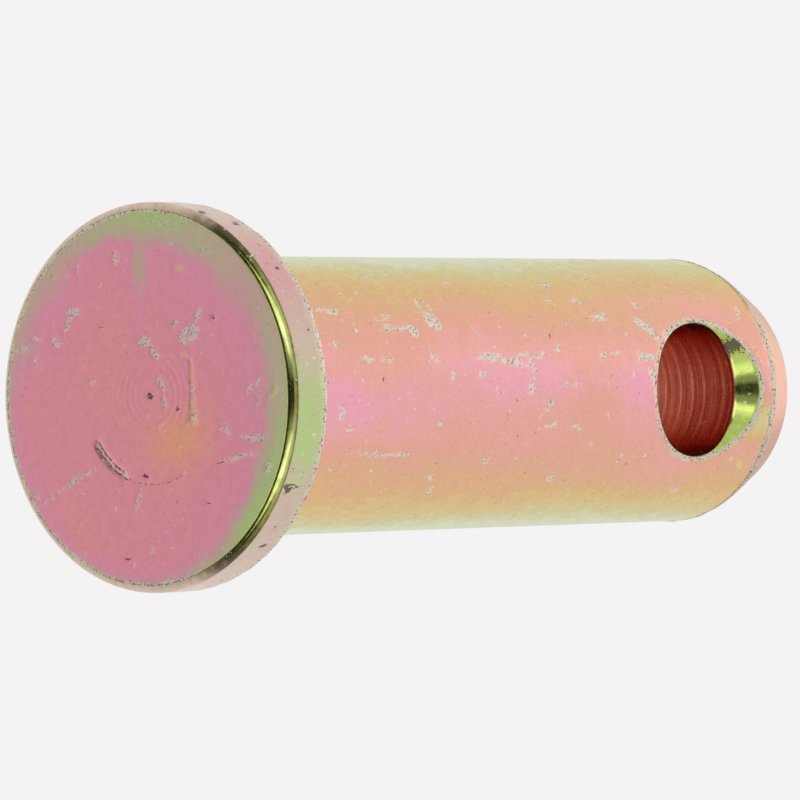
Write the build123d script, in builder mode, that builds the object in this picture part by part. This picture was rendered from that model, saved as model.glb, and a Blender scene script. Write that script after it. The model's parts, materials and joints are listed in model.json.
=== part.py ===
from build123d import *
import os

# A clevis pin turned from one bar: a flat disc head, a plain shank, a cross hole near
# the free end with both mouths countersunk, and a short coned point with a flat end.
#
# Frame: the origin is the centre of the head's outer face, +Z runs along the shank to
# the point, and the cross hole lies along Y. The pin stands on its head.

# Driving dimensions, in millimetres and degrees
shank_diameter = 16.0
length_under_head = 48.5
head_diameter = 22.0
head_thickness = 3.0
face_rounding = 0.5          # outer edge of the head's face
back_bevel = 0.25            # edge of the head on the shank side
root_fillet = 0.4            # corner where the shank meets the head
point_length = 3.3           # axial length of the cone
point_end_diameter = 13.0    # flat at the end of the cone
shoulder_blend = 1.2         # radius where the shank turns into the cone
end_rounding = 0.4           # edge between the cone and the end flat
hole_diameter = 8.0
hole_to_end = 9.75           # from the hole's axis to the end flat
mouth_diameter = 10.3        # countersink, measured level with the crown of the shank
mouth_angle = 90.0           # included angle of the countersink

# Sizes that follow from them
shank_radius = shank_diameter / 2
head_radius = head_diameter / 2
end_radius = point_end_diameter / 2
overall_length = head_thickness + length_under_head
cone_start = overall_length - point_length
hole_height = overall_length - hole_to_end

# What each corner of the profile has room for
head_step = head_radius - shank_radius
rim_room = 0.45 * head_thickness
root_room = 0.45 * head_step
point_room = 0.45 * point_length


with BuildPart() as clevis_pin:

    # Half section of the turned body, from the axis outwards
    with BuildSketch(Plane.XZ) as half_section:
        with BuildLine():
            Polyline(
                (0, 0),
                (head_radius, 0),
                (head_radius, head_thickness),
                (shank_radius, head_thickness),
                (shank_radius, cone_start),
                (end_radius, overall_length),
                (0, overall_length),
                close=True,
            )
        make_face()
        face_corner = half_section.vertices().sort_by_distance((head_radius, 0))[0]
        fillet(face_corner, radius=min(face_rounding, rim_room))
        back_corner = half_section.vertices().sort_by_distance((head_radius, head_thickness))[0]
        chamfer(back_corner, length=min(back_bevel, rim_room, root_room))
        root_corner = half_section.vertices().sort_by_distance((shank_radius, head_thickness))[0]
        fillet(root_corner, radius=min(root_fillet, root_room))
        shoulder = half_section.vertices().sort_by_distance((shank_radius, cone_start))[0]
        fillet(shoulder, radius=min(shoulder_blend, point_room))
        end_corner = half_section.vertices().sort_by_distance((end_radius, overall_length))[0]
        fillet(end_corner, radius=min(end_rounding, point_room))
    revolve(axis=Axis.Z)

    # Cross hole, drilled right through, with a countersink cut from each side
    for side in (-1, 1):
        crown = Plane(origin=(0, side * shank_radius, hole_height), z_dir=(0, side, 0))
        with Locations(crown):
            CounterSinkHole(
                radius=hole_diameter / 2,
                counter_sink_radius=mouth_diameter / 2,
                counter_sink_angle=mouth_angle,
            )


os.makedirs("parts", exist_ok=True)
clevis_pin.part.label = "clevis_pin"
export_step(clevis_pin.part, "parts/clevis_pin.step")
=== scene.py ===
import json
import math

import bmesh
import bpy
import numpy as np
from mathutils import Matrix, Vector, noise


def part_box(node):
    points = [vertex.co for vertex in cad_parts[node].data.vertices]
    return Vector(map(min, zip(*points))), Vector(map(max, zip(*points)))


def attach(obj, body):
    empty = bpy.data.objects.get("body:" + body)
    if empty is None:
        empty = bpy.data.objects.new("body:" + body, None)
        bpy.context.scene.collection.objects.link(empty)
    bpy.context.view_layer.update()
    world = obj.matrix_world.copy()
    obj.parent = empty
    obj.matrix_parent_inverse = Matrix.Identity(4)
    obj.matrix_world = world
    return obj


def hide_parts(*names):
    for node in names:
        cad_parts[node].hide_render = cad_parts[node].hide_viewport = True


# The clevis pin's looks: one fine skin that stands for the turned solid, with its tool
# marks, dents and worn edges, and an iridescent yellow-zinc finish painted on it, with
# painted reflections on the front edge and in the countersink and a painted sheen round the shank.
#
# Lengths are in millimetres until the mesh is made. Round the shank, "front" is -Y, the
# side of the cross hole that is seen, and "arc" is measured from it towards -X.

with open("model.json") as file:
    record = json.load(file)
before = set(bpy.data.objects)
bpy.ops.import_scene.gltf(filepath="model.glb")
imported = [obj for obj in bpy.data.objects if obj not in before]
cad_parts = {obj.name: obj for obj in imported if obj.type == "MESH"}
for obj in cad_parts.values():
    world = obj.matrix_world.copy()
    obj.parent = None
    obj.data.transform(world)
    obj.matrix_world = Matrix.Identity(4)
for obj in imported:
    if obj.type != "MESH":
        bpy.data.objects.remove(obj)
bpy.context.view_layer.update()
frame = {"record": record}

# Sizes from the frame -----------------------------------------------------------------

MM = 0.001
mount = {m["name"]: m for m in frame["record"]["mounts"]}
pin_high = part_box("clevis_pin")[1]

head_radius = pin_high.x / MM
length = pin_high.z / MM
head_thickness = mount["head_underside"]["pos_m"][2] / MM
shank_radius = mount["shank"]["dims"]["r_mm"]
hole_radius = mount["cross_hole"]["dims"]["r_mm"]
hole_height = mount["cross_hole"]["pos_m"][2] / MM
bore_half = mount["cross_hole"]["dims"]["length_mm"] / 2

# Sizes of the edges, as in the solid
face_rounding = 0.5
back_rounding = 0.25
root_fillet = 0.4
point_length = 3.3
end_radius = 6.5
shoulder_blend = 1.2
end_rounding = 0.4

# How finely the skin is divided
ROUND = 224                # columns round the axis
WINDOW_COLUMNS = 24        # columns from the hole's middle to the edge of its window
WINDOW_HALF_HEIGHT = 6.2   # and the window's half height along the shank
WINDOW_ROWS = 40           # rows down that window
FACE_FINE_REACH = 5.2      # the face's turning rings and their close rows end here
FACE_FINE_STEP = 0.09
FACE_OUTER_ROWS = 34       # rows from there to the rounded edge
SHANK_STEP = 0.25
COLLAR_ROWS = 11           # rows from the window to the mouth, and again down the countersink
BORE_ROWS = 78
END_ROWS = 6               # the end is flat and plain, so a few do
FINE_END = 1.2             # how far a run's close rows reach from its ends
SEED = Vector((17.0, 5.0, 29.0))


def smooth(low, high, value):
    """A soft step from 0 at low to 1 at high."""
    t = np.clip((value - low) / (high - low), 0, 1)
    return t * t * (3 - 2 * t)


def bump(value, width):
    """A soft hump: 1 where the value is 0, and about a third at one width from it."""
    return np.exp(-((value / width) ** 2))


def grain(points, size, octaves=3):
    """Smooth noise of about -1 to 1 whose largest lumps are `size` millimetres."""
    return np.array([noise.fractal(Vector(p) / size + SEED, 1.0, 2.0, octaves) for p in points])


# The skin's form ----------------------------------------------------------------------

ZONES = ["face", "rim_edge", "rim", "shank", "point", "mouth", "bore"]


class Skin:
    """Patches of points, welded where they meet."""

    def __init__(self):
        self.points = []
        self.faces = []
        self.zones = []
        self.count = 0

    def patch(self, grid, zone, wrap=False, keep=None):
        rows, columns = grid.shape[:2]
        index = np.arange(rows * columns).reshape(rows, columns) + self.count
        after = np.roll(index, -1, axis=1)
        quads = np.stack([index[:-1], after[:-1], after[1:], index[1:]], -1)
        if not wrap:
            quads = quads[:, :-1]
        quads = quads[keep] if keep is not None else quads.reshape(-1, 4)
        self.points.append(grid.reshape(-1, 3))
        self.faces.append(quads)
        self.zones.append(np.full(len(quads), ZONES.index(zone)))
        self.count += rows * columns

    def mesh(self, name):
        mesh = bpy.data.meshes.new(name)
        faces = np.concatenate(self.faces).tolist()
        mesh.from_pydata(np.concatenate(self.points), [], faces)
        mesh.polygons.foreach_set("material_index", np.concatenate(self.zones))
        work = bmesh.new()
        work.from_mesh(mesh)
        bmesh.ops.remove_doubles(work, verts=work.verts, dist=1e-4)
        bmesh.ops.dissolve_degenerate(work, edges=work.edges, dist=1e-5)
        bmesh.ops.recalc_face_normals(work, faces=work.faces)
        work.to_mesh(mesh)
        work.free()
        return mesh


def graded(start, stop, step, fine, ease=FINE_END):
    """Values from start to stop, `fine` apart near both ends and `step` apart between."""
    span = abs(stop - start)
    count = max(2, int(round(span / step)))
    t = np.linspace(0, 1, count + 1)
    edge = min(0.25, ease / span)
    extra = np.arange(fine, edge * span, fine) / span
    return start + (stop - start) * np.unique(np.round(np.concatenate([t, extra, 1 - extra]), 6))


def rounding(corner, before, after, radius, steps):
    """The arc that rounds a corner of the profile, as (radius, height) points."""
    corner = np.array(corner, float)
    towards = [np.array(p, float) - corner for p in (before, after)]
    towards = [v / np.linalg.norm(v) for v in towards]
    half = math.acos(np.clip(towards[0] @ towards[1], -1, 1)) / 2
    reach = radius / math.tan(half)
    middle = towards[0] + towards[1]
    centre = corner + middle / np.linalg.norm(middle) * radius / math.sin(half)
    ends = [corner + v * reach - centre for v in towards]
    sweep = math.pi - 2 * half
    points = []
    for t in np.linspace(0, 1, steps + 1):
        weights = math.sin((1 - t) * sweep), math.sin(t * sweep)
        points.append(centre + (weights[0] * ends[0] + weights[1] * ends[1]) / math.sin(sweep))
    return np.array(points)


def turned(profile):
    """A surface turned round Z from (radius, height) points."""
    angle = np.arange(ROUND) * 2 * math.pi / ROUND
    r, z = profile[:, 0][:, None], profile[:, 1][:, None]
    return np.stack([-r * np.sin(angle), -r * np.cos(angle), z + 0 * angle], -1)


face_rim = (head_radius, 0)
back_rim = (head_radius, head_thickness)
root = (shank_radius, head_thickness)
shoulder = (shank_radius, length - point_length)
end_rim = (end_radius, length)

face_arc = rounding(face_rim, (0, 0), back_rim, face_rounding, 8)
back_arc = rounding(back_rim, face_rim, root, back_rounding, 4)
root_arc = rounding(root, back_rim, shoulder, root_fillet, 4)
shoulder_arc = rounding(shoulder, root, end_rim, shoulder_blend, 5)
end_arc = rounding(end_rim, shoulder, (0, length), end_rounding, 5)


def straight(start, stop, step, fine):
    """A straight run of the profile, with its points closer together near both ends."""
    span = math.dist(start, stop)
    t = graded(0, 1, step / span, fine / span, FINE_END / span)
    return np.array(start) + (np.array(stop) - np.array(start)) * t[:, None]


def mouth_reach(turn):
    """How far the countersink's edge is from the hole's axis, at a turn from the front's arc."""
    reach = np.full_like(turn, hole_radius)
    for _ in range(40):
        depth = np.sqrt(shank_radius**2 - (reach * np.cos(turn)) ** 2) - bore_half
        reach = (reach + hole_radius + depth) / 2
    return reach


def build_skin():
    """The whole pin from patches: the head, the shank and its hole, and the coned end."""
    skin = Skin()
    inner = np.arange(0, FACE_FINE_REACH, FACE_FINE_STEP)
    outer = np.linspace(FACE_FINE_REACH, face_arc[0][0], FACE_OUTER_ROWS)
    face_radii = np.concatenate([inner, outer])
    face = np.stack([face_radii, 0 * face_radii], -1)
    skin.patch(turned(face), "face", wrap=True)
    skin.patch(turned(face_arc[:8]), "rim_edge", wrap=True)
    skin.patch(turned(face_arc[7:]), "rim", wrap=True)
    skin.patch(turned(straight(face_arc[-1], back_arc[0], 0.25, 0.12)), "rim", wrap=True)
    skin.patch(turned(back_arc), "rim", wrap=True)
    skin.patch(turned(straight(back_arc[-1], root_arc[0], 0.3, 0.15)), "rim", wrap=True)
    skin.patch(turned(root_arc), "shank", wrap=True)

    # The shank, without a window round each mouth of the hole
    low, high = hole_height - WINDOW_HALF_HEIGHT, hole_height + WINDOW_HALF_HEIGHT
    below = graded(root_arc[-1][1], low, SHANK_STEP, 0.15)
    across = np.linspace(low, high, WINDOW_ROWS + 1)
    above = np.linspace(high, shoulder_arc[0][1], 3)
    heights = np.concatenate([below, across[1:], above[1:]])
    shank = np.stack([np.full_like(heights, shank_radius), heights], -1)
    column = (np.arange(ROUND) + 0.5 + ROUND / 4) % (ROUND / 2) - ROUND / 4
    beside = np.abs(column) > WINDOW_COLUMNS
    middle = (heights[:-1] + heights[1:]) / 2
    outside = (middle < low) | (middle > high)
    skin.patch(turned(shank), "shank", wrap=True, keep=outside[:, None] | beside[None, :])

    # Rings from the window's edge to the mouth, down the countersink and through the bore
    step = 2 * math.pi * shank_radius / ROUND
    arcs = np.arange(-WINDOW_COLUMNS, WINDOW_COLUMNS + 1) * step
    rise = across - hole_height
    top, side = WINDOW_HALF_HEIGHT, WINDOW_COLUMNS * step
    tall, wide = WINDOW_ROWS, 2 * WINDOW_COLUMNS
    loop_arc = np.concatenate([arcs[:-1], np.full(tall, side), arcs[:0:-1], np.full(tall, -side)])
    loop_rise = np.concatenate([np.full(wide, -top), rise[:-1], np.full(wide, top), rise[:0:-1]])
    turn = np.arctan2(loop_rise, loop_arc)
    reach = mouth_reach(turn)
    mouth_arc = shank_radius * np.arcsin(reach * np.cos(turn) / shank_radius)
    mouth_rise = reach * np.sin(turn)
    share = (np.linspace(0, 1, COLLAR_ROWS) ** 1.5)[:, None]
    ring_arc = mouth_arc * (1 - share) + loop_arc * share
    ring_rise = mouth_rise * (1 - share) + loop_rise * share
    angle = ring_arc / shank_radius
    collar_x, collar_y = -shank_radius * np.sin(angle), -shank_radius * np.cos(angle)
    collar = np.stack([collar_x, collar_y, hole_height + ring_rise], -1)

    share = np.linspace(0, 1, COLLAR_ROWS)[:, None]
    radius = reach * (1 - share) + hole_radius * share
    depth = bore_half + radius - hole_radius
    mouth = np.stack([-radius * np.cos(turn), -depth, hole_height + radius * np.sin(turn)], -1)
    for facing in (1, -1):
        flip = np.array([1, facing, 1])
        skin.patch(collar * flip, "shank", wrap=True)
        skin.patch(mouth * flip, "mouth", wrap=True)
    along = np.linspace(-bore_half, bore_half, BORE_ROWS)[:, None]
    bore = np.stack([
        -hole_radius * np.cos(turn) + 0 * along,
        along + 0 * turn,
        hole_height + hole_radius * np.sin(turn) + 0 * along,
    ], -1)
    skin.patch(bore, "bore", wrap=True)

    skin.patch(turned(shoulder_arc), "point", wrap=True)
    skin.patch(turned(straight(shoulder_arc[-1], end_arc[0], 0.25, 0.12)), "point", wrap=True)
    skin.patch(turned(end_arc), "point", wrap=True)
    end_radii = np.linspace(end_arc[-1][0], 0, END_ROWS)
    end = np.stack([end_radii, np.full_like(end_radii, length)], -1)
    skin.patch(turned(end), "point", wrap=True)
    return skin.mesh("pin_skin")


# Marks --------------------------------------------------------------------------------

# On the head's face: kind, right, up, long, wide, tilt in degrees, strength.
# Right is -Y and up is -X, from the middle of the face.
FACE_MARKS = [
    ("pale", -5.4, 4.9, 0.9, 0.5, 0, 1.0),
    ("pale", -5.9, 4.1, 1.3, 0.16, 65, 0.9),
    ("pale", -6.8, 3.2, 0.9, 0.45, -50, 0.95),
    ("pale", -8.3, 3.4, 1.0, 0.2, -10, 0.8),
    ("pale", -9.4, 2.8, 1.0, 0.6, 0, 0.65),
    ("pale", -8.4, 2.1, 0.8, 0.5, 20, 0.55),
    ("pale", -2.1, 7.9, 0.9, 0.5, 90, 0.7),
    ("pale", -5.0, 7.4, 0.6, 0.3, 60, 0.7),
    ("pale", -0.1, 3.1, 0.8, 0.6, 10, 1.0),
    ("pale", 0.7, 2.5, 1.1, 0.45, -55, 0.8),
    ("pale", 1.15, 0.8, 1.0, 0.35, -60, 0.85),
    ("pale", 1.4, -0.2, 0.8, 0.25, -85, 0.75),
    ("pale", 3.3, 3.5, 1.5, 0.9, 20, 0.95),
    ("pale", 3.95, 4.5, 1.0, 0.35, 65, 0.8),
    ("pale", 2.3, 4.1, 0.5, 0.25, 30, 0.7),
    ("gold", 2.9, 2.3, 0.9, 0.25, -15, 0.58),
    ("gold", 3.45, 1.5, 1.6, 0.3, -85, 0.58),
    ("gold", 3.5, -0.6, 1.4, 0.5, 85, 0.6),
    ("gold", 3.3, -1.5, 1.0, 0.3, 15, 0.7),
    ("gold", 2.55, 7.2, 0.8, 0.5, 0, 0.75),
    ("gold", -6.8, 6.9, 0.5, 0.25, 60, 0.7),
    ("gold", -6.0, 6.9, 0.4, 0.25, 70, 0.7),
    ("gold", 9.4, 0.1, 1.4, 0.25, 55, 0.7),
    ("pale", 8.0, 0.6, 1.5, 0.16, 35, 0.7),
    ("pale", 7.9, -2.3, 2.0, 0.4, -5, 0.85),
    ("pale", 6.8, -3.4, 3.0, 0.3, 8, 0.9),
    ("dark", 5.5, -3.7, 0.9, 0.25, 10, 0.7),
    ("pale", 9.0, -4.0, 0.6, 0.4, 70, 1.0),
    ("pale", 5.9, -1.9, 0.9, 0.6, -40, 0.6),
    ("pale", -5.9, -4.9, 4.8, 0.18, 27, 0.75),
    ("pale", -5.5, -4.6, 1.2, 0.4, 15, 0.55),
    ("pale", -0.7, -5.9, 1.7, 0.4, 70, 0.6),
    ("pale", 0.35, -8.5, 0.6, 0.3, 80, 0.6),
    ("pale", 1.6, -6.9, 0.3, 0.25, 0, 0.9),
    ("pale", -8.4, -5.5, 0.45, 0.35, 40, 0.9),
    ("pale", 1.2, -1.6, 0.8, 0.4, 40, 0.42),
    ("pale", -4.0, 0.9, 0.6, 0.4, 0, 0.55),
    ("pale", 4.3, 8.3, 1.0, 0.3, -20, 0.5),
    ("pale", 1.6, 9.8, 2.6, 0.4, -8, 0.5),
    ("dark", 0.4, 0.05, 0.7, 0.4, 20, 0.6),
    ("dark", -0.1, -4.45, 0.6, 0.3, 0, 0.9),
    ("dark", 5.1, 4.5, 0.5, 0.2, 15, 0.8),
    ("dark", 6.2, 1.5, 0.25, 0.2, 0, 0.8),
    ("dark", 8.2, -0.1, 0.3, 0.2, 0, 0.8),
    ("dark", -1.45, -9.1, 0.9, 0.16, -15, 0.8),
    ("dark", 4.5, -5.9, 0.7, 0.16, -5, 0.7),
    ("dark", 2.5, -0.7, 0.4, 0.2, -10, 0.8),
    ("dark", -3.3, 4.0, 0.4, 0.3, 0, 0.6),
    ("pale", 3.5, 0.5, 0.6, 0.4, 80, 0.7),
    ("pale", 3.6, -1.1, 0.7, 0.4, 60, 0.7),
]

# On the shank: kind, height up the pin, arc from the front, long, wide, tilt, strength
SHANK_MARKS = [
    ("pale", 8.3, 5.1, 2.6, 0.35, -3, 0.85),
    ("pale", 13.6, 3.9, 3.2, 0.5, 0, 0.7),
    ("pale", 15.0, 3.8, 1.0, 0.6, -40, 0.95),
    ("pale", 17.2, 4.3, 1.3, 1.0, -45, 0.95),
    ("pale", 16.8, 5.5, 1.2, 0.35, 80, 0.75),
    ("pale", 14.0, 8.1, 0.9, 0.5, 20, 0.7),
    ("pale", 16.3, 8.4, 1.0, 0.5, 45, 0.75),
    ("pale", 21.2, 2.05, 2.2, 0.5, -3, 1.0),
    ("pale", 23.2, 1.8, 2.4, 0.35, -10, 0.9),
    ("pale", 25.8, 2.1, 1.6, 0.25, 5, 0.8),
    ("pale", 24.7, 0.8, 1.6, 0.25, 85, 0.75),
    ("pale", 24.8, 0.2, 0.7, 0.5, 0, 0.8),
    ("pale", 26.5, -0.6, 0.9, 0.35, -20, 0.75),
    ("pale", 28.5, 0.4, 2.0, 0.18, 0, 0.65),
    ("pale", 27.7, 2.6, 0.6, 0.4, 50, 0.85),
    ("dark", 27.3, 3.5, 0.35, 0.25, 0, 0.9),
    ("pale", 30.0, 7.3, 1.0, 0.7, 20, 0.75),
    ("pale", 31.5, 5.9, 1.3, 0.5, -10, 0.75),
    ("pale", 29.0, 5.8, 0.7, 0.4, 0, 0.65),
    ("pale", 32.7, 4.6, 1.4, 0.4, -5, 0.75),
    ("pale", 31.8, 2.1, 1.2, 0.35, 30, 0.65),
    ("pale", 36.6, 4.1, 1.5, 0.6, -30, 1.0),
    ("pale", 37.2, 3.5, 1.3, 0.5, -55, 0.9),
    ("pale", 35.9, 2.0, 1.7, 0.45, 3, 1.0),
    ("pale", 36.2, 1.0, 0.9, 0.5, 10, 0.85),
    ("pale", 34.5, 1.0, 0.4, 0.3, 0, 0.8),
    ("pale", 10.3, 2.0, 1.2, 0.5, 0, 0.6),
    ("pale", 11.8, 2.0, 1.0, 0.5, 0, 0.6),
    ("dark", 11.3, 0.85, 0.5, 0.35, 0, 0.7),
    ("pale", 7.7, 2.9, 0.8, 0.3, 0, 0.75),
    ("pale", 7.7, -1.0, 0.9, 0.45, 70, 0.7),
    ("pale", 8.6, -2.0, 0.9, 0.4, 0, 0.7),
    ("pale", 7.9, -4.4, 0.7, 0.3, -5, 0.75),
    ("pale", 12.2, -3.55, 5.8, 0.2, -2, 0.8),
    ("pale", 22.2, -0.1, 1.0, 0.2, 0, 0.65),
    ("pale", 26.8, -2.0, 1.3, 0.35, 0, 0.75),
    ("pale", 29.3, -2.15, 1.3, 0.3, -10, 0.75),
    ("pale", 28.7, -5.6, 1.0, 0.45, 0, 0.75),
    ("dark", 30.0, -5.7, 0.4, 0.4, 0, 0.6),
    ("pale", 17.3, -5.2, 0.5, 0.4, 0, 0.75),
    ("pale", 18.0, -6.2, 0.7, 0.5, 60, 0.65),
    ("pale", 13.8, -6.7, 1.1, 0.45, 0, 0.65),
    ("pale", 21.7, -4.2, 0.9, 0.6, 0, 0.55),
    ("pale", 29.3, -8.1, 1.1, 0.5, -10, 0.7),
    ("pale", 18.8, -8.6, 0.9, 0.4, 10, 0.65),
    ("pale", 41.8, -6.9, 1.3, 0.4, -15, 0.7),
    ("gold", 46.4, -4.8, 0.9, 0.45, -30, 1.0),
    ("pale", 27.2, 10.2, 0.7, 0.5, 0, 0.65),
    ("pale", 21.0, 7.4, 0.6, 0.4, 30, 0.6),
    ("pale", 34.2, 7.8, 0.7, 0.3, 0, 0.7),
    ("pale", 37.0, 5.5, 0.9, 0.4, -20, 0.7),
    ("pale", 16.5, 2.0, 0.7, 0.35, 80, 0.65),
    ("pale", 17.7, 1.0, 0.6, 0.45, 60, 0.65),
    ("pale", 19.0, 1.8, 0.8, 0.3, -60, 0.6),
    ("pale", 46.5, 4.9, 1.2, 0.35, 70, 0.65),
    ("pale", 20.4, 1.1, 1.0, 0.3, 10, 0.75),
    ("pale", 24.3, 2.2, 1.6, 0.3, 8, 0.85),
    ("pale", 25.0, 1.5, 1.3, 0.3, -50, 0.7),
    ("pale", 17.5, 5.4, 1.0, 0.4, -60, 0.75),
    ("pale", 13.0, 4.6, 2.0, 0.2, 12, 0.6),
    ("pale", 26.2, -1.0, 0.8, 0.3, -45, 0.7),
    ("pale", 33.0, 2.3, 1.2, 0.3, 0, 0.6),
    ("pale", 31.0, -3.3, 0.7, 0.3, 0, 0.6),
]

KINDS = ["pale", "dark", "gold"]

# Paint and tool marks -----------------------------------------------------------------

TURNING_MIDDLE = (0.43, 0.09)    # where the lathe's rings on the face have their middle
TURNING_PITCH = 0.43
SCRAPE_RADIUS = 4.93             # the crescent scrape follows one of those rings

# How deep the marks are pressed in
RING_DEPTH = 0.013
SCRAPE_DEPTH = 0.05
PALE_DEPTH = 0.03
DARK_DEPTH = 0.05
GOLD_DEPTH = 0.03
WORN_DEPTH = 0.05
GROOVE_DEPTH = 0.035

# The film's thickness changes in soft patches, listed as the marks are.
FACE_PATCHES = [
    (-0.4, 7.4, 3.2, 1.6, 90, 0.4),
    (-0.3, 5.0, 3.4, 0.9, 85, 0.2),
    (6.6, 6.0, 3.6, 2.2, -40, 0.22),
    (-6.6, 6.4, 3.6, 2.4, 45, 0.3),
    (-8.8, 2.7, 2.8, 2.2, 0, 0.3),
    (2.4, -2.4, 4.4, 2.6, 10, -0.3),
    (8.4, -0.4, 2.0, 2.2, 0, 0.15),
]
SHANK_PATCHES = [
    (7.5, -0.8, 4.5, 2.6, 0, 0.12),
    (26.0, 1.2, 6.0, 1.8, 0, 0.06),
    (34.6, 0.2, 3.6, 3.4, 0, 0.12),
    (43.0, 5.2, 9.0, 3.4, 0, 0.2),
    (40.0, -5.0, 8.0, 3.0, 0, 0.18),
    (31.0, -0.6, 6.0, 3.2, 0, -0.13),
    (20.0, -3.6, 9.0, 2.0, 0, 0.07),
    (30.0, 1.6, 5.0, 1.6, 0, -0.1),
    (12.0, -4.4, 8.0, 2.4, 0, -0.06),
    (47.0, -1.9, 3.2, 2.4, 0, -0.6),
    (24.0, 4.6, 14.0, 2.4, 0, -0.05),
    (11.0, 4.5, 8.0, 3.0, 0, -0.04),
]


def local(right, up, x, y, long, wide, tilt):
    """How far places are from an oval's middle, where 1 is its edge."""
    cosine, sine = math.cos(math.radians(tilt)), math.sin(math.radians(tilt))
    along = (right - x) * cosine + (up - y) * sine
    across = (up - y) * cosine - (right - x) * sine
    return np.hypot(2 * along / long, 2 * across / wide)


def marked(kind, right, up, marks):
    """How densely one kind of mark covers each place."""
    cover = np.zeros(len(right))
    for marked_kind, x, y, long, wide, tilt, strength in marks:
        if marked_kind == kind:
            reach = local(right, up, x, y, long, max(wide, 0.26), tilt)
            inner, outer = (0.2, 1.2) if kind == "dark" else (0.55, 1.6)
            cover = np.maximum(cover, strength * (1 - smooth(inner, outer, reach)))
    return cover


def patched(right, up, patches):
    """How much the soft patches add to the film at each place."""
    amount = np.zeros(len(right))
    for x, y, long, wide, tilt, change in patches:
        amount += change * bump(local(right, up, x, y, long, wide, tilt), 1)
    return amount


def ring_mark(right, up, radius, wide, start, stop):
    """A mark along a turning line of the face, between two angles in degrees."""
    x, y = right - TURNING_MIDDLE[0], up - TURNING_MIDDLE[1]
    angle = np.degrees(np.arctan2(y, x)) % 360
    ends = smooth(start, start + 5, angle) * (1 - smooth(stop - 5, stop, angle))
    return bump(np.hypot(x, y) - radius, wide / 2) * ends


def face_film(right, up, rough):
    """Rose over most of the face, then mauve, tan and green towards its edge."""
    radius, angle = np.hypot(right, up), np.arctan2(up, right)
    ring = 9.75 + 0.45 * np.cos(angle - math.radians(215)) - 0.3 * np.sin(angle)
    mauve = 0.55 + 0.45 * np.cos(angle - math.radians(30))
    green = 0.78 + 0.22 * np.maximum(bump(angle - 1.6, 0.5), bump(angle + 0.5, 0.8))
    film = 0.28 + 0.22 * mauve * smooth(ring - 5.0, ring - 1.2, radius)
    edge = smooth(ring - 1.2, ring + 0.7, radius + 0.25 * rough)
    film = film * (1 - edge) + green * edge
    return film + patched(right, up, FACE_PATCHES) * (1 - edge) + 0.07 * rough


def shank_film_and_painted_sheen(points, up, rough):
    """Pink towards the front and back, then orange, olive and pale green at the sides: film colour with a
    painted sheen, graded by the angle from the front and paler at the grazing sides.
    """
    side = np.degrees(np.arcsin(np.clip(np.abs(points[:, 0]) / shank_radius, 0, 1)))
    film = 0.83 * (1 - np.clip(side / 78, 0, 1) ** 1.3)
    near = np.where(points[:, 1] < 0, up, 40)
    return film + patched(points[:, 2], near, SHANK_PATCHES) + 0.11 * rough


def rim_film(angle, rough):
    """Green along one stretch of the rim, and pink to tan round the rest."""
    degrees = np.degrees(angle) + 6 * rough
    return np.clip(0.5 - 0.5 * bump(degrees - 40, 14) + 0.5 * bump(degrees + 8, 17) + 0.2 * rough, 0, 1)


def edge_film_and_painted_reflection(angle, height, rough, fine):
    """The rounded front edge is polished, with a painted dark reflection along it and two painted
    highlights, and dull film beyond.
    """
    aside = np.abs(np.degrees(angle))
    # the front stretch carries the painted reflection; beyond it the edge is dull film
    polished = 1 - smooth(50, 76, aside + 6 * rough)
    painted_highlight = bump(aside - 20, 19) * (1 - smooth(0.26, 0.4, height + 0.05 * fine))
    return polished * (0.5 + painted_highlight * (0.42 + 0.16 * fine))


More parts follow.
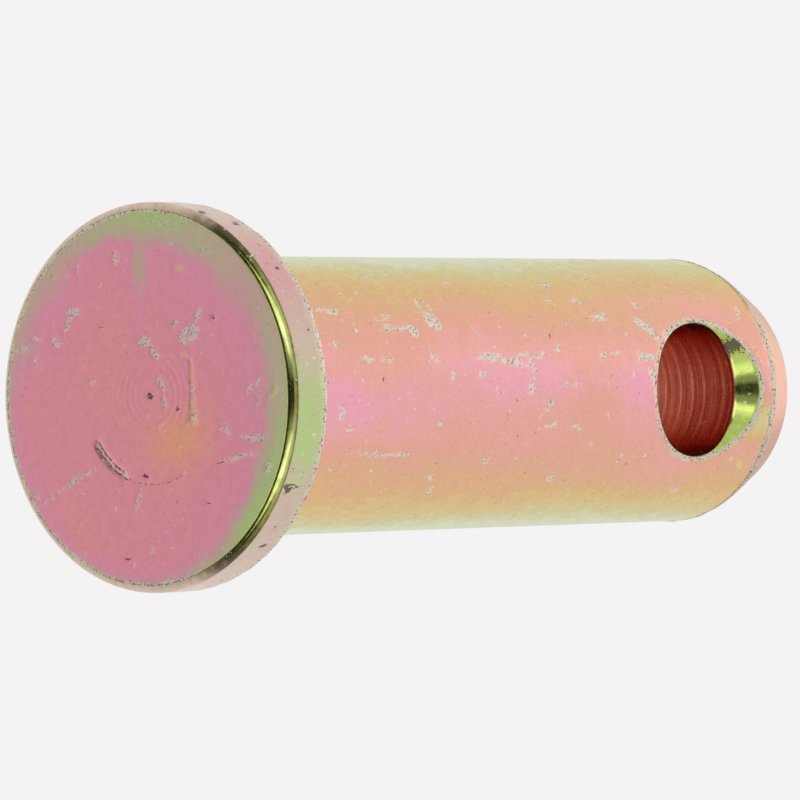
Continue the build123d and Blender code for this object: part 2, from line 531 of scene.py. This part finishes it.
def weather(mesh):
    """Adds the film, scuffs and worn edges as attributes, with the painted reflections and sheen that the
    film and scuffs carry, and presses in the tool marks.
    """
    count = len(mesh.vertices)
    points = np.empty(count * 3)
    mesh.vertices.foreach_get("co", points)
    points = points.reshape(-1, 3)
    normals = np.empty(count * 3)
    mesh.vertex_normals.foreach_get("vector", normals)
    normals = normals.reshape(-1, 3)
    zone = np.full(count, len(ZONES))
    for face in mesh.polygons:
        corners = list(face.vertices)
        zone[corners] = np.minimum(zone[corners], face.material_index)
    on = {name: zone == number for number, name in enumerate(ZONES)}

    x, y, z = points.T
    radius = np.hypot(x, y)
    angle = np.arctan2(-x, -y)
    right, up = -y, -x
    arc = angle * shank_radius
    broad = grain(points * [1, 1, 0.45], 5.0)
    rough = grain(points, 1.1)
    fine = grain(points, 0.45, 2)

    film = np.full(count, 0.5)
    film = np.where(on["face"], face_film(right, up, broad + 0.5 * rough), film)
    # the rounded front edge gets a painted reflection with painted highlights
    film = np.where(on["rim_edge"], edge_film_and_painted_reflection(angle, z, rough, fine), film)
    # the shank's film colour carries a painted sheen graded round it
    film = np.where(on["shank"], shank_film_and_painted_sheen(points, arc, broad + 0.5 * rough), film)
    film = np.where(on["rim"], rim_film(angle, rough), film)
    film = np.where(on["point"], 0.5 + 0.4 * np.cos(2 * angle) + 0.3 * broad, film)
    film = np.where(on["bore"], 0.5 + 0.5 * rough, film)
    turn = np.arctan2(z - hole_height, -x)
    spokes = grain(np.stack([12 * turn, 0 * x, 0 * x], -1), 0.9)
    film = np.where(on["mouth"], 0.55 + 0.35 * np.sin(turn) + 0.25 * spokes, film)

    # A painted dark reflection across the countersink beside the cone, and scuffs that wander a little
    painted_dark_reflection = bump(np.degrees(turn) - 52, 9) * on["mouth"] * (y < 0) * (0.9 + 0.5 * spokes)
    shift = 0.12 * fine
    scuffs_and_painted_reflection = np.zeros((count, 4))
    for channel, kind in enumerate(KINDS):
        face_cover = marked(kind, right + shift, up - shift, FACE_MARKS)
        shank_cover = marked(kind, z + shift, arc - shift, SHANK_MARKS)
        scuffs_and_painted_reflection[:, channel] = np.where(on["face"], face_cover, np.where(on["shank"], shank_cover, 0))
    gouge = ring_mark(right + shift, up, SCRAPE_RADIUS, 0.5, 209, 250) * on["face"]
    lines = ring_mark(right, up, SCRAPE_RADIUS - 0.13, 0.16, 209, 246)
    lines += ring_mark(right, up, SCRAPE_RADIUS + 0.13, 0.14, 212, 252)
    trail = ring_mark(right, up, SCRAPE_RADIUS + 0.07, 0.2, 244, 300) * on["face"]
    streaks = smooth(0.42, 0.8, grain(points * [1, 1, 0.5], 0.55, 2)) * on["rim"] * (z < head_thickness)
    # The painted dark reflection in the countersink goes in with the dark scuffs
    scuffs_and_painted_reflection[:, 1] = np.maximum(scuffs_and_painted_reflection[:, 1], painted_dark_reflection)
    scuffs_and_painted_reflection[:, 0] = np.maximum(scuffs_and_painted_reflection[:, 0], 0.8 * gouge)
    scuffs_and_painted_reflection[:, 1] = np.maximum(scuffs_and_painted_reflection[:, 1], 0.7 * streaks)
    scuffs_and_painted_reflection[:, 1] = np.maximum(scuffs_and_painted_reflection[:, 1], np.maximum(0.75 * lines * on["face"], 0.4 * trail))

    # Worn edges: the mouths, the shoulder, and both edges of the head
    hole_turn = np.arctan2(z - hole_height, np.where(y < 0, arc, shank_radius * np.arctan2(-x, y)))
    across = np.hypot(x, z - hole_height)
    beyond_mouth = across - mouth_reach(hole_turn)
    uneven = 0.5 + 0.5 * np.clip(rough + fine, -1, 1)
    width = 0.22 + 0.25 * uneven
    outside = 1 - smooth(0.6 * width, width, beyond_mouth)
    inside = 1 - smooth(0.05, 0.16, -beyond_mouth)
    worn = np.where(on["shank"], outside, np.where(on["mouth"], inside, 0))
    shoulder_gap = np.abs(z - shoulder[1])
    worn = np.maximum(worn, 0.9 - 0.9 * smooth(0.1, 0.3 + 0.65 * uneven, shoulder_gap))
    at_back = smooth(head_thickness - 0.75, head_thickness - 0.3, z) * (radius > shank_radius + 1)
    worn = np.maximum(worn, at_back * (0.55 + 0.6 * uneven) * (z <= head_thickness + 0.01))
    at_face = bump(radius - (head_radius - face_rounding), 0.16) * (z < 0.3)
    dull_side = smooth(60, 75, np.abs(np.degrees(angle)))
    worn = np.maximum(worn, at_face * (0.35 + 0.65 * uneven) * dull_side)

    # Tool marks and dents, all pressed in from the solid's surface
    turned_reach = np.hypot(right - TURNING_MIDDLE[0], up - TURNING_MIDDLE[1])
    rings = 0.5 + 0.5 * np.cos(2 * math.pi * turned_reach / TURNING_PITCH)
    rings *= 1 - smooth(1.8, 4.4, turned_reach)
    rings *= 0.55 + 0.45 * np.clip(rough + broad, -1, 1)
    marks_in_face = RING_DEPTH * rings + SCRAPE_DEPTH * gouge
    depth = on["face"] * (marks_in_face + 0.004 * (1 + np.clip(broad, -1, 1)))
    depth += on["shank"] * 0.006 * (1 + np.clip(rough, -1, 1))
    depth += PALE_DEPTH * scuffs_and_painted_reflection[:, 0] * (0.5 + 0.5 * fine)
    depth += DARK_DEPTH * scuffs_and_painted_reflection[:, 1] + GOLD_DEPTH * scuffs_and_painted_reflection[:, 2]
    depth += WORN_DEPTH * worn * uneven * (on["shank"] | on["rim"] | on["point"])
    turn_grooves = grain(np.stack([0 * y, y, 0 * z], -1), 0.3, 3)
    within = on["bore"] * (np.abs(y) < bore_half - 0.02)
    depth -= within * GROOVE_DEPTH * (1 + np.clip(turn_grooves, -1, 1))

    points = points - normals * depth[:, None]
    mesh.vertices.foreach_set("co", points.ravel())
    for name, values in (("film", film), ("worn", np.clip(worn, 0, 1))):
        mesh.attributes.new(name, "FLOAT", "POINT").data.foreach_set("value", values)
    mesh.attributes.new("scuffs_and_painted_reflection", "FLOAT_COLOR", "POINT").data.foreach_set("color", scuffs_and_painted_reflection.ravel())


# Materials ----------------------------------------------------------------------------


def linear(red, green, blue):
    """A colour written as in a picture, 0 to 255, as the renderer's own numbers."""
    shares = [value / 255 for value in (red, green, blue)]
    return tuple(s / 12.92 if s <= 0.04045 else ((s + 0.055) / 1.055) ** 2.4 for s in shares)


class Graph:
    """Short ways to add nodes to a material or world."""

    def __init__(self, tree):
        self.tree = tree
        tree.nodes.clear()

    def node(self, kind, inputs, **settings):
        node = self.tree.nodes.new("ShaderNode" + kind)
        for name, value in settings.items():
            setattr(node, name, value)
        for socket, value in inputs.items():
            if isinstance(value, bpy.types.NodeSocket):
                self.tree.links.new(value, node.inputs[socket])
            else:
                node.inputs[socket].default_value = value
        return node

    def math(self, operation, *values):
        return self.node("Math", dict(enumerate(values)), operation=operation).outputs[0]

    def spread(self, value, low, high, start=0.0, stop=1.0):
        inputs = {0: value, 1: low, 2: high, 3: start, 4: stop}
        return self.node("MapRange", inputs, interpolation_type="SMOOTHSTEP").outputs[0]

    def mix(self, factor, first, second):
        colours = [(*c, 1) if isinstance(c, tuple) and len(c) == 3 else c for c in (first, second)]
        inputs = {0: factor, 6: colours[0], 7: colours[1]}
        return self.node("Mix", inputs, data_type="RGBA").outputs[2]

    def ramp(self, value, stops):
        node = self.node("ValToRGB", {0: value})
        elements = node.color_ramp.elements
        while len(elements) < len(stops):
            elements.new(1)
        for element, (place, colour) in zip(elements, stops):
            element.position = place
            element.color = (*linear(*colour), 1)
        return node.outputs[0]

    def noise(self, size, detail=2.0, roughness=0.5, stretch=(1, 1, 1), turn=(0, 0, 0)):
        """Noise whose lumps are about `size` millimetres, in the part's own frame."""
        place = self.node("TexCoord", {}).outputs["Object"]
        scale = [1 / (MM * size * s) for s in stretch]
        place = self.node("Mapping", {0: place, 2: turn, 3: scale}, vector_type="POINT").outputs[0]
        inputs = {"Vector": place, "Scale": 1.0, "Detail": detail, "Roughness": roughness}
        return self.node("TexNoise", inputs).outputs[0]

    def attribute(self, name):
        return self.node("Attribute", {}, attribute_name=name)


FACE_FILM = [
    (0.00, (227, 158, 132)),
    (0.30, (224, 146, 158)),
    (0.55, (222, 146, 167)),
    (0.70, (208, 157, 160)),
    (0.82, (193, 171, 151)),
    (0.92, (187, 178, 146)),
    (1.00, (176, 191, 130)),
]
# The shank's film colour with its painted sheen, from the pale sides at 0 to the pink front and back
SHANK_FILM_AND_PAINTED_SHEEN = [
    (0.00, (210, 214, 184)),
    (0.15, (208, 199, 145)),
    (0.30, (217, 187, 130)),
    (0.42, (219, 176, 129)),
    (0.55, (223, 170, 141)),
    (0.68, (228, 166, 151)),
    (0.80, (232, 168, 164)),
    (0.90, (236, 166, 181)),
]
RIM_FILM = [
    (0.0, (211, 158, 157)),
    (0.5, (204, 180, 165)),
    (1.0, (182, 202, 136)),
]
POINT_FILM = [
    (0.0, (214, 200, 180)),
    (1.0, (220, 180, 168)),
]
BRIGHT_FILM = [
    (0.0, (126, 166, 74)),
    (0.5, (160, 186, 84)),
    (1.0, (194, 210, 114)),
]
# The front edge: dull film at 0, painted dark reflection at the middle stops, painted highlights at the
# top stops
EDGE_FILM_AND_PAINTED_REFLECTION = [
    (0.00, (204, 182, 164)),
    (0.20, (150, 134, 112)),
    (0.40, (92, 84, 62)),
    (0.50, (86, 80, 52)),
    (0.72, (160, 164, 88)),
    (1.00, (214, 220, 142)),
]
BORE_FILM = [
    (0.0, (196, 128, 112)),
    (0.5, (208, 140, 124)),
    (1.0, (224, 162, 138)),
]
PALE_SCUFF = linear(226, 220, 206)
# Colour of the dark scuffs, and of the painted dark reflection in the countersink
DARK_SCUFF_AND_PAINTED_REFLECTION = linear(84, 66, 66)
GOLD_SCUFF = linear(232, 208, 140)
WORN_EDGE = linear(216, 208, 188)
WORN_SPECK = linear(74, 70, 80)


def plated(name, film_stops, roughness, polished=None, mottle=0.06, scuffed=0.8, grooves=0.0,
           sheen=(1, 1, 1)):
    """Bright metal under a coloured film, with scuffs and wear where the attributes say."""
    material = bpy.data.materials.new(name)
    material.use_nodes = True
    graph = Graph(material.node_tree)
    film = graph.attribute("film").outputs["Fac"]
    scuffs_and_painted_reflection = graph.node("SeparateColor", {0: graph.attribute("scuffs_and_painted_reflection").outputs["Color"]}).outputs
    worn = graph.attribute("worn").outputs["Fac"]

    cloud = graph.noise(0.5, 4.0, 0.6)
    grit = graph.noise(0.09, 2.0, 0.6)
    strokes = graph.noise(0.16, 2.0, 0.6, (1, 1, 3), (0.7, 0.5, 0.3))
    strays = graph.spread(graph.noise(0.75, 2.0, 0.5), 0.66, 0.75, 0.0, 0.68)
    spots = graph.noise(0.35, 1.0, 0.4)

    phase = graph.math("MULTIPLY_ADD", graph.math("SUBTRACT", cloud, 0.5), mottle * 4, film)
    colour = graph.ramp(phase, film_stops)
    shade = graph.spread(graph.noise(0.22, 3.0, 0.7), 0.25, 0.75, 0.95, 1.04)
    colour = graph.node("VectorMath", {0: colour, 1: shade}, operation="MULTIPLY").outputs[0]

    def covered(density, texture, contrast=1.3):
        lift = graph.math("MULTIPLY_ADD", graph.math("SUBTRACT", texture, 0.5), contrast, density)
        return graph.spread(lift, 0.4, 0.56)

    texture = graph.math("ADD", graph.math("MULTIPLY", grit, 0.4), graph.math("MULTIPLY", strokes, 0.6))
    dots = graph.spread(spots, 0.74, 0.76, 0.0, 0.5)
    pale = covered(graph.math("MAXIMUM", scuffs_and_painted_reflection[0], strays), texture, 3.0)
    bare = graph.math("MAXIMUM", pale, dots)
    dark = covered(scuffs_and_painted_reflection[1], texture, 2.6)
    gold = covered(scuffs_and_painted_reflection[2], texture, 3.0)
    edge = covered(worn, texture, 2.4)
    pits = graph.spread(graph.noise(0.16, 2.0, 0.5), 0.56, 0.62)
    pits = graph.math("MULTIPLY", pits, graph.math("MAXIMUM", graph.math("MULTIPLY", pale, 0.8), edge))
    flecks = graph.spread(graph.noise(0.3, 1.0, 0.4), 0.765, 0.785, 0.0, 0.45)

    colour = graph.mix(graph.math("MULTIPLY", bare, scuffed), colour, PALE_SCUFF)
    colour = graph.mix(graph.math("MULTIPLY", gold, scuffed), colour, GOLD_SCUFF)
    colour = graph.mix(graph.math("MULTIPLY", edge, 0.8), colour, WORN_EDGE)
    colour = graph.mix(graph.math("MULTIPLY", pits, 0.75), colour, WORN_SPECK)
    # Dark scuffs and flecks, and the painted dark reflection in the countersink
    darkened = graph.math("MAXIMUM", graph.math("MULTIPLY", dark, 0.85), flecks)
    colour = graph.mix(darkened, colour, DARK_SCUFF_AND_PAINTED_REFLECTION)

    rub = graph.math("MAXIMUM", graph.math("MAXIMUM", bare, edge), graph.math("MAXIMUM", gold, dark))
    rough = graph.spread(cloud, 0.3, 0.7, roughness - 0.04, roughness + 0.05)
    if polished is not None:
        rough = graph.math("MULTIPLY", rough, graph.spread(film, 0.15, 0.55, 1.0, polished / roughness))
    rough = graph.math("MULTIPLY_ADD", rub, 0.18, rough)

    height = graph.math("MULTIPLY", graph.noise(0.09, 2.0, 0.6), 0.25)
    height = graph.math("MULTIPLY_ADD", graph.math("MULTIPLY", rub, texture), -1.0, height)
    if grooves:
        lines = graph.noise(0.13, 3.0, 0.65, (60, 1, 60))
        height = graph.math("MULTIPLY_ADD", lines, grooves, height)
        colour = graph.mix(graph.spread(lines, 0.56, 0.7, 0.0, 0.55), colour, linear(238, 176, 140))
    bump_node = graph.node("Bump", {"Strength": 0.25, "Distance": 0.02 * MM, "Height": height})
    inputs = {"Base Color": colour, "Metallic": 1.0, "Roughness": rough, "Normal": bump_node.outputs[0]}
    inputs["Specular Tint"] = (*sheen, 1)
    shader = graph.node("BsdfPrincipled", inputs)
    graph.node("OutputMaterial", {0: shader.outputs[0]})
    return material


# The pin ------------------------------------------------------------------------------

# The skin has to stay under the work order's 200,000 triangles: the count is printed.
mesh = build_skin()
weather(mesh)
mesh.transform(Matrix.Scale(MM, 4))
mesh.polygons.foreach_set("use_smooth", [True] * len(mesh.polygons))
print("skin:", sum(len(face.vertices) - 2 for face in mesh.polygons), "triangles")
pin = bpy.data.objects.new("pin_skin", mesh)
bpy.context.scene.collection.objects.link(pin)

finishes = {
    "face": plated("film_face", FACE_FILM, 0.3, scuffed=0.55),
    # The front edge's colours are a painted reflection with painted highlights
    "rim_edge": plated("film_front_edge_with_painted_reflection", EDGE_FILM_AND_PAINTED_REFLECTION, 0.34, polished=0.15, mottle=0.08),
    "rim": plated("film_rim", RIM_FILM, 0.3, mottle=0.12),
    # The shank's film carries a painted sheen graded round it
    "shank": plated("film_shank_with_painted_sheen", SHANK_FILM_AND_PAINTED_SHEEN, 0.3, sheen=(0.92, 0.93, 0.85)),
    "point": plated("film_point", POINT_FILM, 0.34, sheen=(0.72, 0.58, 0.51)),
    # The countersink also carries a painted dark reflection, along with the dark scuffs
    "mouth": plated("film_mouth", BRIGHT_FILM, 0.13),
    "bore": plated("film_bore", BORE_FILM, 0.25, grooves=3.0, sheen=(0.9, 0.6, 0.5)),
}
for zone in ZONES:
    mesh.materials.append(finishes[zone])
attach(pin, "root")
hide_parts("clevis_pin")


# Floor, light and camera --------------------------------------------------------------

PALE = (0.905, 0.89, 0.895, 1)
VIEW_ELEVATION = math.radians(-50.18)    # the lens looks up from below the floor's level
VIEW_ROLL = math.radians(0.86)
VIEW_DISTANCE = 431.7                    # mm, from the lens to the middle of the view
VIEW_MIDDLE = Vector((0.35, 0.0, 22.33))
VIEW_LENS = 332.0
to_camera = Vector((0.0, -math.cos(VIEW_ELEVATION), math.sin(VIEW_ELEVATION)))
up_in_view = Vector((-1.0, 0.0, 0.0))
across_view = up_in_view.cross(to_camera)
down = Vector((0.0, 0.0, -1.0))


def floor():
    """A pale floor, seen only from above, that the head's face doesn't see either."""
    made = bpy.data.meshes.new("floor")
    half = 4.0
    corners = [(-half, -half, 0), (half, -half, 0), (half, half, 0), (-half, half, 0)]
    made.from_pydata(corners, [], [(0, 1, 2, 3)])
    plane = bpy.data.objects.new("floor", made)
    plane.location.z = -0.02 * MM
    bpy.context.scene.collection.objects.link(plane)
    material = bpy.data.materials.new("floor")
    material.use_nodes = True
    graph = Graph(material.node_tree)
    mottled = graph.mix(graph.noise(40.0, 4.0), (0.8, 0.795, 0.79), (0.84, 0.835, 0.83))
    diffuse = graph.node("BsdfDiffuse", {"Color": mottled}).outputs[0]
    clear = graph.node("BsdfTransparent", {}).outputs[0]
    path = graph.node("LightPath", {}).outputs
    beneath = graph.node("NewGeometry", {}).outputs["Backfacing"]
    place = graph.node("TexCoord", {}).outputs["Object"]
    away = graph.node("VectorMath", {0: place}, operation="LENGTH").outputs["Value"]
    near = graph.math("LESS_THAN", path["Ray Length"], 3 * MM)
    far = graph.spread(away, 0.6, 2.6)
    hidden = graph.math("MAXIMUM", graph.math("MAXIMUM", beneath, near), far)
    hidden = graph.math("MAXIMUM", hidden, path["Is Glossy Ray"])
    shader = graph.node("MixShader", {0: hidden, 1: diffuse, 2: clear})
    graph.node("OutputMaterial", {0: shader.outputs[0]})
    made.materials.append(material)


def studio():
    """A white tent with two strip lights, and a dark gap where the lens looks in."""
    made = bpy.data.worlds.new("studio")
    bpy.context.scene.world = made
    made.use_nodes = True
    graph = Graph(made.node_tree)
    direction = graph.node("TexCoord", {}).outputs["Generated"]

    def along(axis):
        return graph.node("VectorMath", {0: direction, 1: axis}, operation="DOT_PRODUCT").outputs["Value"]

    facing = along(to_camera)
    height = graph.math("ABSOLUTE", along(up_in_view))
    aside = graph.math("ABSOLUTE", along(across_view))
    tent = graph.spread(facing, -0.2, 0.2, 1.0, 0.83)
    front = graph.math("MULTIPLY", graph.spread(facing, 0.3, 0.45), graph.spread(along(down), 0.44, 0.54))
    weak = graph.spread(height, 0.08, 0.15, 0.0, 0.35)
    strong = graph.spread(height, 0.26, 0.32, 0.0, 1.35)
    strips = graph.math("ADD", weak, strong)
    strips = graph.math("MULTIPLY_ADD", strips, graph.spread(aside, 0.56, 0.7, 1, 0), 0.04)
    strips = graph.math("MULTIPLY", strips, graph.spread(height, 0.62, 0.68, 1, 0.06))
    level = graph.node("Mix", {0: front, 2: tent, 3: strips}).outputs[0]
    light = graph.node("Background", {"Color": (1, 1, 1, 1), "Strength": level}).outputs[0]
    seen = graph.node("Background", {"Color": PALE}).outputs[0]
    camera_ray = graph.node("LightPath", {}).outputs["Is Camera Ray"]
    shader = graph.node("MixShader", {0: camera_ray, 1: light, 2: seen})
    graph.node("OutputWorld", {0: shader.outputs[0]})


def lamp():
    """A large soft lamp overhead, for a soft shadow."""
    data = bpy.data.lights.new("lamp", "AREA")
    data.size = 0.5
    data.energy = 0.5
    lamp = bpy.data.objects.new("lamp", data)
    lamp.location = (-0.1, -0.05, 0.7)
    lamp.rotation_euler = Vector(lamp.location).to_track_quat("Z", "Y").to_euler()
    bpy.context.scene.collection.objects.link(lamp)


def camera():
    data = bpy.data.cameras.new("camera")
    data.lens = VIEW_LENS
    data.clip_start = 0.01
    data.clip_end = 20
    camera = bpy.data.objects.new("camera", data)
    bpy.context.scene.collection.objects.link(camera)
    place = (VIEW_MIDDLE + VIEW_DISTANCE * to_camera) * MM
    up = math.cos(VIEW_ROLL) * up_in_view + math.sin(VIEW_ROLL) * across_view
    right = up.cross(to_camera)
    turned = Matrix((right, up, to_camera)).transposed().to_4x4()
    camera.matrix_world = Matrix.Translation(place) @ turned
    bpy.context.scene.camera = camera


floor()
studio()
lamp()
camera()
bpy.context.scene.view_settings.view_transform = "Standard"
